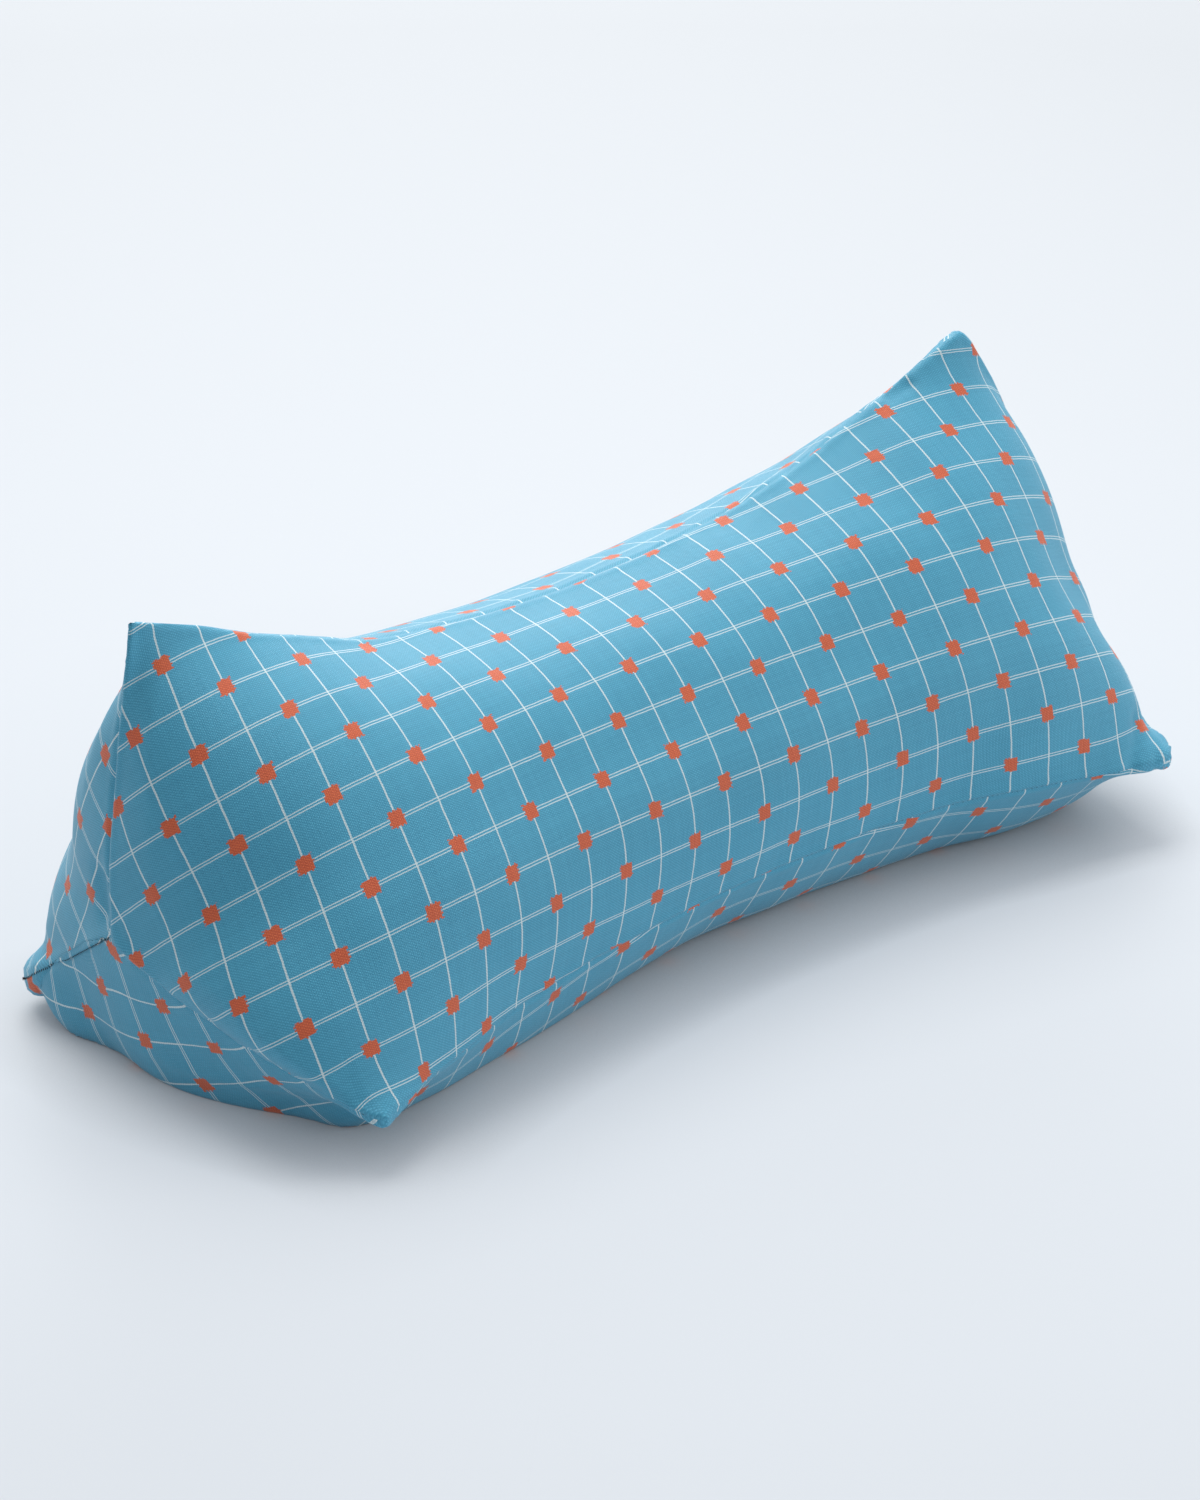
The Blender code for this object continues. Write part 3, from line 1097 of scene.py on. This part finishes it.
    def shape_seams(self) -> None:
        """Sink the seams, roll the cloth beside them and let it pucker a little."""
        self.bm.normal_update()
        sewn = [(vert, self.seam_of(vert)) for vert in self.bm.verts]
        sewn = [(vert, found) for vert, found in sewn if found]
        tree = KDTree(len(sewn))
        for k, (vert, _) in enumerate(sewn):
            tree.insert(vert.co, k)
        tree.balance()
        tips = [tip for tip, _ in self.tips()]
        moves = []
        for vert in self.bm.verts:
            _, k, gap = tree.find(vert.co)
            shape = self.seam_shapes[sewn[k][1][0]]
            room = min(min((vert.co - tip).length for tip in tips) / (self.tip_reach * MM), 1.0)
            move = shape.relief(sewn[k][0].co, gap / MM, vert[self.tags["panel"]])
            move *= min(1.0, self.tip_relief + room * self.relief_rise)
            move += self.unevenness * noise.noise(vert.co * (PER_METRE / self.lump_length))
            clear = min(max(vert.co.z / MM / self.clear_height, 0.0), 1.0)
            moves.append((vert, vert.normal * (move * clear * MM)))
        for vert, move in moves:
            vert.co += move
            vert.co.z = max(vert.co.z, 0.0) + self.rest_lift * MM

    def note_seams(self) -> None:
        """Keep each finished seam as an ordered line, for the stitches."""
        self.bm.normal_update()
        lines: dict[tuple[Seam, int], list[tuple[float, Vector, Vector]]] = {}
        for vert in self.bm.verts:
            found = self.seam_of(vert)
            if not found:
                continue
            along, across = vert[self.tags["along"]], vert[self.tags["across"]]
            key = along if found[0] in ARMS else abs(2 * across - 1)
            lines.setdefault(found, []).append((key, vert.co.copy(), vert.normal.copy()))
        for found, line in lines.items():
            line.sort(key=lambda row: row[0])
            points = []
            for k, (_, place, out) in enumerate(line):
                before, after = line[max(k - 1, 0)][1], line[min(k + 1, len(line) - 1)][1]
                points.append(SeamPoint(place, out, (after - before).normalized()))
            self.seams[found] = points


@dataclass(frozen=True)
class Lamp:
    """A square soft lamp that faces the pillow: metres, and watts for its power."""

    name: str
    place: Triple
    side: float
    power: float
    colour: Triple = (1.0, 1.0, 1.0)
    aim: Triple = (0.0, 0.0, 0.08)

    def hang(self) -> None:
        """Put the lamp in the scene."""
        light = bpy.data.lights.new(self.name, "AREA")
        light.size = self.side
        light.energy = self.power
        light.color = self.colour
        lamp = put(self.name, light)
        lamp.location = self.place
        line = Vector(self.aim) - Vector(self.place)
        lamp.rotation_euler = line.to_track_quat("-Z", "Y").to_euler()


@dataclass(frozen=True)
class StudioSet:
    """Pale floor with a painted glow, soft light and the camera at the photograph's angle.

    The floor's painted glow is emission, no lamp, and lights the pillow as well: full up to
    glow_near metres away, down to glow_left from glow_far on, and dimmed by a painted contact
    shadow within contact_reach of what stands on it. The camera's place is in mm.
    """

    lens: float = 95.3
    sensor_width: float = 36.0
    clip: Pair = (0.05, 50.0)
    camera_place: Triple = (-801.2, -927.2, 665.6)
    slide: Triple = PillowForm.slide
    view_line: Triple = (0.5835, 0.6804, -0.4433)
    lamps: tuple[Lamp, ...] = (
        Lamp("key_light", (0.3, 1.2, 2.6), 2.0, 84.0, (1.0, 0.995, 0.98)),
        Lamp("fill_light", (1.6, -1.5, 0.8), 1.8, 22.0),
        Lamp("rim_light", (1.6, 1.9, 1.0), 1.5, 30.0),
    )
    floor_half: float = 12.0
    floor_colour: Triple = (0.33, 0.34, 0.35)
    floor_roughness: float = 0.9
    floor_shine: float = 0.1
    painted_floor_glow: Triple = (0.355, 0.385, 0.425)
    glow_near: float = 0.3
    glow_far: float = 1.1
    glow_left: float = 0.62
    contact_reach: float = 0.035
    contact_samples: int = 6
    world_colour: Triple = (0.90, 0.93, 0.97)
    world_strength: float = 0.40

    def build(self) -> None:
        """Set the stage."""
        bpy.context.scene.view_settings.view_transform = "Standard"
        self.add_floor()
        self.add_world()
        for lamp in self.lamps:
            lamp.hang()
        self.add_camera()

    def paper(self) -> bpy.types.Material:
        """Build the floor's node material, with its painted glow and painted contact shadow.

        Returns:
            The material.
        """
        recipe = Recipe("studio_paper_and_painted_glow")
        place = recipe.add("TexCoord", {}, "Object")
        # Painted light: the floor's glow fades with distance from the middle of the floor.
        away = recipe.add("VectorMath", {0: place}, "Value", operation="LENGTH")
        span = {"From Min": self.glow_near, "From Max": self.glow_far,
                "To Min": 1.0, "To Max": self.glow_left, "Value": away}
        painted_glow_falloff = recipe.add("MapRange", span, "Result")
        # Painted contact shadow: the glow is dimmed where ambient occlusion finds the pillow close
        # by.
        near = recipe.add("AmbientOcclusion", {"Distance": self.contact_reach}, "AO",
                          samples=self.contact_samples)
        return recipe.finish({
            "Base Color": self.floor_colour,
            # Painted glow: the floor's emission lights the floor and the pillow, though it is no
            # lamp.
            "Emission Color": self.painted_floor_glow,
            "Emission Strength": painted_glow_falloff * near,
            "Roughness": self.floor_roughness,
            "Specular IOR Level": self.floor_shine,
        })

    def add_floor(self) -> None:
        """A wide pale floor, which carries the painted glow."""
        bm = bmesh.new()
        bmesh.ops.create_grid(bm, x_segments=1, y_segments=1, size=self.floor_half)
        floor = put_mesh("studio_floor", bm, self.paper())

    def add_world(self) -> None:
        """Even pale light from all round."""
        world = bpy.data.worlds.new("studio_air")
        world.use_nodes = True
        sky = world.node_tree.nodes["Background"]
        sky.inputs["Color"].default_value = (*self.world_colour, 1.0)
        sky.inputs["Strength"].default_value = self.world_strength
        bpy.context.scene.world = world

    def add_camera(self) -> None:
        """The camera at the photograph's place and angle."""
        data = bpy.data.cameras.new("camera")
        data.lens = self.lens
        data.sensor_width = self.sensor_width
        data.clip_start, data.clip_end = self.clip
        camera = put("camera", data)
        camera.location = (Vector(self.camera_place) + Vector(self.slide)) * MM
        camera.rotation_euler = Vector(self.view_line).to_track_quat("-Z", "Y").to_euler()
        bpy.context.scene.camera = camera


@dataclass(frozen=True)
class StitchSize:
    """Sizes of a row's stitches: mm, and radians for their slant from the seam.

    lift is how far the thread's middle stands off the cloth.
    """

    pitch: float
    length: float
    slant: float
    thick: float
    lift: float


@dataclass
class Stitching:
    """Rows of short thread stitches that lie along the finished seams."""

    cover: CushionCover
    sides: int = 6
    rings: int = 4
    flatness: float = 0.8
    wander_step: float = 0.7
    length_wander: float = 0.2
    slant_wander: float = 0.15
    stitch: bpy.types.Mesh = field(init=False)

    def __post_init__(self) -> None:
        """Make the one soft-ended stitch that every row repeats: a ball of diameter 1."""
        spots, rows = [], []
        for ring in range(self.rings + 1):
            down = pi * ring / self.rings
            around = self.sides if 0 < ring < self.rings else 1
            rows.append([len(spots) + side % around for side in range(self.sides + 1)])
            for side in range(around):
                turn = 2 * pi * side / self.sides
                spots.append(Vector((sin(turn) * sin(down), cos(turn) * sin(down), cos(down))) / 2)
        faces = [tuple(dict.fromkeys((high[k], high[k + 1], low[k + 1], low[k])))
                 for high, low in zip(rows, rows[1:]) for k in range(self.sides)]
        self.stitch = bpy.data.meshes.new("stitch")
        self.stitch.from_pydata(spots, [], faces, shade_flat=False)

    def add_stitch(self, bm: bmesh.types.BMesh, point: SeamPoint, size: StitchSize,
                   wander: float) -> None:
        """Add one stitch: a short soft-ended thread pressed onto the cloth.

        Args:
            bm: the mesh of the row.
            point: where its middle is.
            size: the sizes of the row.
            wander: how far this one strays from them, about -1 to 1.
        """
        slant = size.slant + self.slant_wander * wander
        length = size.length * (1 + self.length_wander * wander)
        out = point.out
        run = (point.run - out * point.run.dot(out)).normalized()
        axis = run * cos(slant) + out.cross(run) * sin(slant)
        turn = Matrix((out.cross(axis), out, axis)).transposed().to_4x4()
        thick = size.thick * MM
        scale = Matrix.Diagonal((thick, thick * self.flatness, length * MM, 1.0))
        place = Matrix.Translation(point.place + out * (size.lift * MM)) @ turn @ scale
        first = len(bm.verts)
        bm.from_mesh(self.stitch)
        bm.verts.ensure_lookup_table()
        for vert in bm.verts[first:]:
            vert.co = place @ vert.co

    def row(self, name: str, thread: SewingThread, seam: Seam, end: int, stretch: Pair,
            size: StitchSize) -> None:
        """Sew a row of stitches along part of a seam. It rides with the pillow.

        Args:
            name: the piece's name.
            thread: what it is sewn with.
            seam: the seam it lies on.
            end: which end for an arm, 0 for a long seam.
            stretch: where it starts and stops, as parts of the seam's length.
            size: the stitches' sizes.
        """
        bm = bmesh.new()
        points = self.cover.seams[(seam, end)]
        run = [0.0]
        for before, after in zip(points, points[1:]):
            run.append(run[-1] + (after.place - before.place).length)
        start, stop = run[-1] * stretch[0], run[-1] * stretch[1]
        for k in range(int((stop - start) / (size.pitch * MM))):
            wander = noise.noise(Vector((k * self.wander_step, 0.0, 0.0)))
            place = start + k * size.pitch * MM
            i = int(np.clip(np.searchsorted(run, place) - 1, 0, len(run) - 2))
            part = (place - run[i]) / max(run[i + 1] - run[i], TINY)
            self.add_stitch(bm, points[i].towards(points[i + 1], part), size, wander)
        piece = put_mesh(name, bm, thread.material())
        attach(piece, "root")
        LOG.info("%s: %d faces", name, len(piece.data.polygons))

    def build(self) -> None:
        """Sew the rows that show from outside."""
        dark = SewingThread("dark_thread", (0.012, 0.014, 0.020), (0.004, 0.005, 0.008))
        self.row("closing_stitches", dark, Seam.BACK_ARM, 0, (0.01, 0.96),
                 StitchSize(1.15, 1.0, 1.3, 0.38, 0.38))
        # Dark blue thread: real stitches, darkened as painted shade of the stitch holes along the
        # front seam.
        shade = SewingThread("blue_thread_and_hole_shade", (0.030, 0.075, 0.110), (0.012, 0.035, 0.055))
        self.row("front_seam_stitches_and_hole_shade", shade, Seam.FRONT, 0, (0.48, 0.96),
                 StitchSize(2.0, 0.9, 0.0, 0.30, -0.02))
        self.row("front_arm_stitches", shade, Seam.FRONT_ARM, 0, (0.35, 0.97),
                 StitchSize(2.2, 1.0, 0.4, 0.30, 0.05))


def main() -> None:
    """Build the pillow and its studio in order."""
    logging.basicConfig(level=logging.INFO, format="%(relativeCreated)d ms: %(message)s")
    StudioSet().build()
    cover = CushionCover()
    piece = cover.build()
    LOG.info("%s: %d faces", piece.name, len(piece.data.polygons))
    Stitching(cover).build()


if __name__ == "__main__":
    main()
